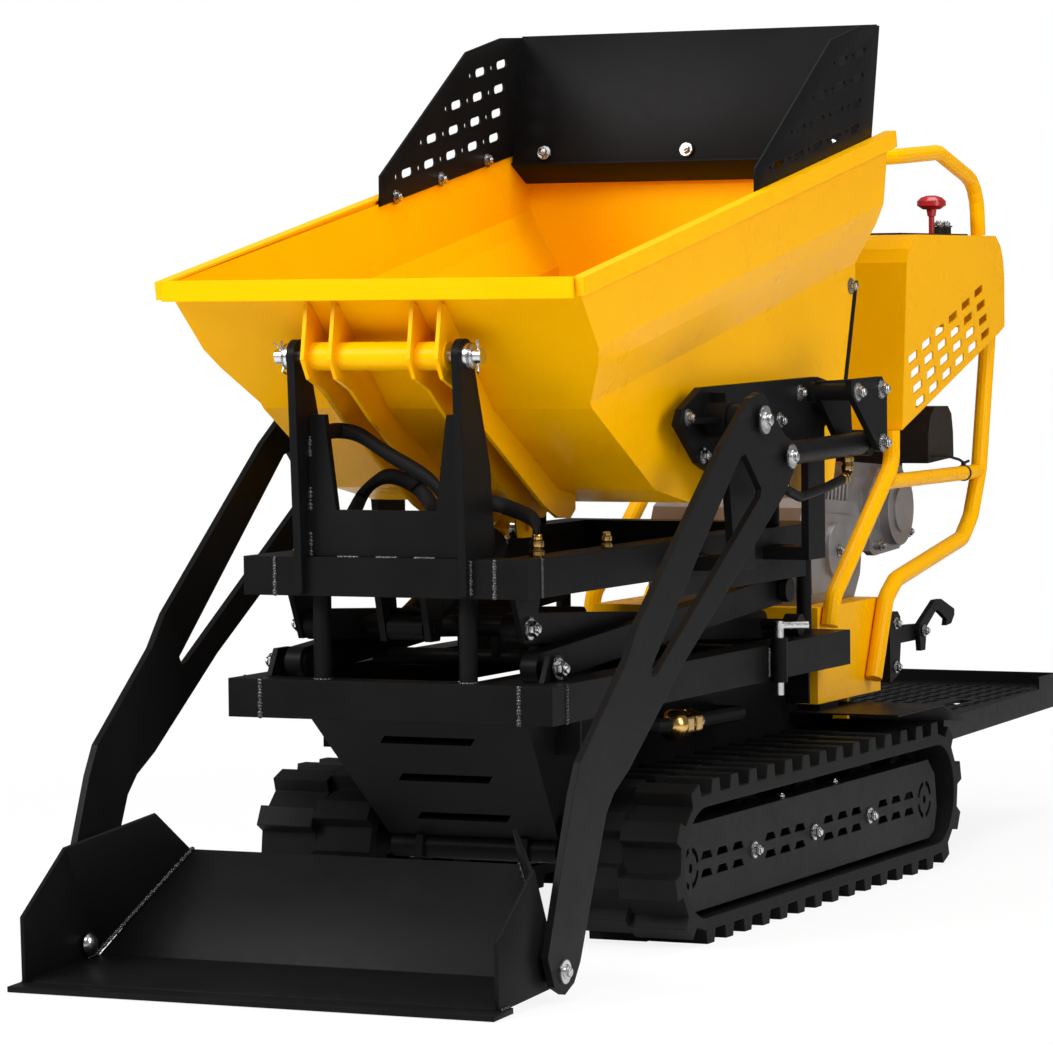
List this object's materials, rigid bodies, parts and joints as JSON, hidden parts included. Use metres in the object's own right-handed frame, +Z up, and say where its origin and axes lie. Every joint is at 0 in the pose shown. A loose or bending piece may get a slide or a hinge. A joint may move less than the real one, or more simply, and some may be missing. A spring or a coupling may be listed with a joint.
{
  "type": "tracked site dumper",
  "caption": "Small rubber-tracked site dumper with a front-tipping tub on a scissor lift, a self-loading shovel on side arms, a rear console and a rider's platform.",
  "frame": {"origin": "middle of the footprint on the ground", "axes": "+Z up, the shovel end faces -Y, the machine's own left side is +X"},
  "size_m": [0.764, 2.594, 1.356],
  "materials": {
    "black_paint": "satin",
    "yellow_paint": "gloss",
    "rubber": "satin",
    "zinc_steel": "satin",
    "engine_grey": "cast",
    "black_plastic": "matte",
    "red_plastic": "gloss"
  },
  "bodies": {
    "undercarriage": {"chassis": "black_paint", "lower_frame": "black_paint", "lift_mount": "black_paint", "track_frame_left": "black_paint", "track_frame_right": "black_paint", "rollers_left": "black_paint", "rollers_right": "black_paint", "track_left": "rubber", "track_right": "rubber", "track_guard_left": "black_paint", "track_guard_right": "black_paint", "frame_lugs": "black_paint", "side_hoses": "rubber", "lock_pins": "zinc_steel", "rear_box": "yellow_paint", "mudguards": "black_paint", "rear_frame": "yellow_paint", "rear_bars": "yellow_paint", "console_cover": "yellow_paint", "control_panel": "black_plastic", "red_knob": "red_plastic", "handle_bar": "yellow_paint", "engine_block": "engine_grey", "engine_shroud": "engine_grey", "air_filter": "black_plastic", "latch_plate": "black_paint"},
    "upper_frame": {"upper_frame": "black_paint", "tip_bracket": "black_paint", "tip_pin": "zinc_steel", "loader_bracket_left": "black_paint", "loader_bracket_right": "black_paint", "up_lugs": "black_paint", "up_hoses": "rubber"},
    "tub": {"tub_shell": "yellow_paint", "tub_rails": "yellow_paint", "tub_ribs": "yellow_paint", "tub_guard": "black_paint"},
    "loader": {"loader_arm_left": "black_paint", "loader_arm_right": "black_paint", "shovel": "black_paint"},
    "platform": {"platform": "black_paint"},
    "latch_hook": {"latch_hook": "black_paint"},
    "scissor_outer": {"scissor_outer": "black_paint"},
    "scissor_inner": {"scissor_inner": "black_paint", "scissor_rollers": "black_paint"},
    "lift_barrel": {"lift_barrel": "black_paint"},
    "lift_rod": {"lift_rod": "zinc_steel"},
    "tip_barrel": {"tip_barrel": "black_paint"},
    "tip_stage": {"tip_stage": "zinc_steel"},
    "tip_rod": {"tip_rod": "zinc_steel"},
    "loader_barrels": {"loader_barrels": "black_paint", "loader_hoses": "rubber"},
    "loader_rods": {"loader_rods": "zinc_steel"}
  },
  "joints": [
    {"name": "lift", "type": "hinge", "parent": "undercarriage", "child": "scissor_outer", "pos_m": [0, -0.773, 0.415], "axis": [1, 0, 0], "range_deg": [0, 42]},
    {"name": "scissor_cross", "type": "hinge", "parent": "scissor_outer", "child": "scissor_inner", "pos_m": [0, -0.32384, 0.4425], "axis": [1, 0, 0], "range_deg": [-85, 1]},
    {"name": "frame_level", "type": "hinge", "parent": "scissor_inner", "child": "upper_frame", "pos_m": [0, -0.773, 0.47], "axis": [1, 0, 0], "range_deg": [-1, 43]},
    {"name": "lift_barrel_turn", "type": "hinge", "parent": "undercarriage", "child": "lift_barrel", "pos_m": [0, 0.037, 0.365], "axis": [1, 0, 0], "range_deg": [-20.14, 1]},
    {"name": "lift_rod_slide", "type": "slide", "parent": "lift_barrel", "child": "lift_rod", "axis": [0, -0.9882, 0.1531], "range_m": [-0.002, 0.177]},
    {"name": "tip", "type": "hinge", "parent": "upper_frame", "child": "tub", "pos_m": [0, -0.878, 0.854], "axis": [1, 0, 0], "range_deg": [0, 80]},
    {"name": "tip_barrel_turn", "type": "hinge", "parent": "upper_frame", "child": "tip_barrel", "pos_m": [0, -0.791, 0.47], "axis": [1, 0, 0], "range_deg": [-1, 52.31]},
    {"name": "tip_stage_slide", "type": "slide", "parent": "tip_barrel", "child": "tip_stage", "axis": [0, 0.9333, 0.3592], "range_m": [-0.002, 0.221]},
    {"name": "tip_rod_slide", "type": "slide", "parent": "tip_stage", "child": "tip_rod", "axis": [0, 0.9333, 0.3592], "range_m": [-0.002, 0.221]},
    {"name": "loader_swing", "type": "hinge", "parent": "upper_frame", "child": "loader", "pos_m": [0, -0.391, 0.752], "axis": [1, 0, 0], "range_deg": [-110, 0]},
    {"name": "loader_barrel_turn", "type": "hinge", "parent": "upper_frame", "child": "loader_barrels", "pos_m": [0, 0.113, 0.702], "axis": [1, 0, 0], "range_deg": [-1, 2.72]},
    {"name": "loader_rod_slide", "type": "slide", "parent": "loader_barrels", "child": "loader_rods", "axis": [0, -0.9998, -0.0175], "range_m": [-0.002, 0.198]},
    {"name": "platform_fold", "type": "hinge", "parent": "undercarriage", "child": "platform", "pos_m": [0, 0.587, 0.212], "axis": [1, 0, 0], "range_deg": [0, 30]},
    {"name": "latch_swing", "type": "hinge", "parent": "undercarriage", "child": "latch_hook", "pos_m": [0, 0.713, 0.365], "axis": [1, 0, 0], "range_deg": [0, 30]}
  ],
  "couplings": [
    {"joint": "scissor_cross", "follows": "lift", "ratio": -2},
    {"joint": "frame_level", "follows": "lift", "ratio": 1},
    {"joint": "lift_barrel_turn", "follows": "lift", "ratio": -0.45579},
    {"joint": "lift_rod_slide", "follows": "lift", "m_per_rad": 0.23617},
    {"joint": "tip_barrel_turn", "follows": "tip", "ratio": 0.64138},
    {"joint": "tip_stage_slide", "follows": "tip", "m_per_rad": 0.15522},
    {"joint": "tip_rod_slide", "follows": "tip", "m_per_rad": 0.15522},
    {"joint": "loader_barrel_turn", "follows": "loader_swing", "ratio": -0.01566},
    {"joint": "loader_rod_slide", "follows": "loader_swing", "m_per_rad": -0.10092}
  ]
}
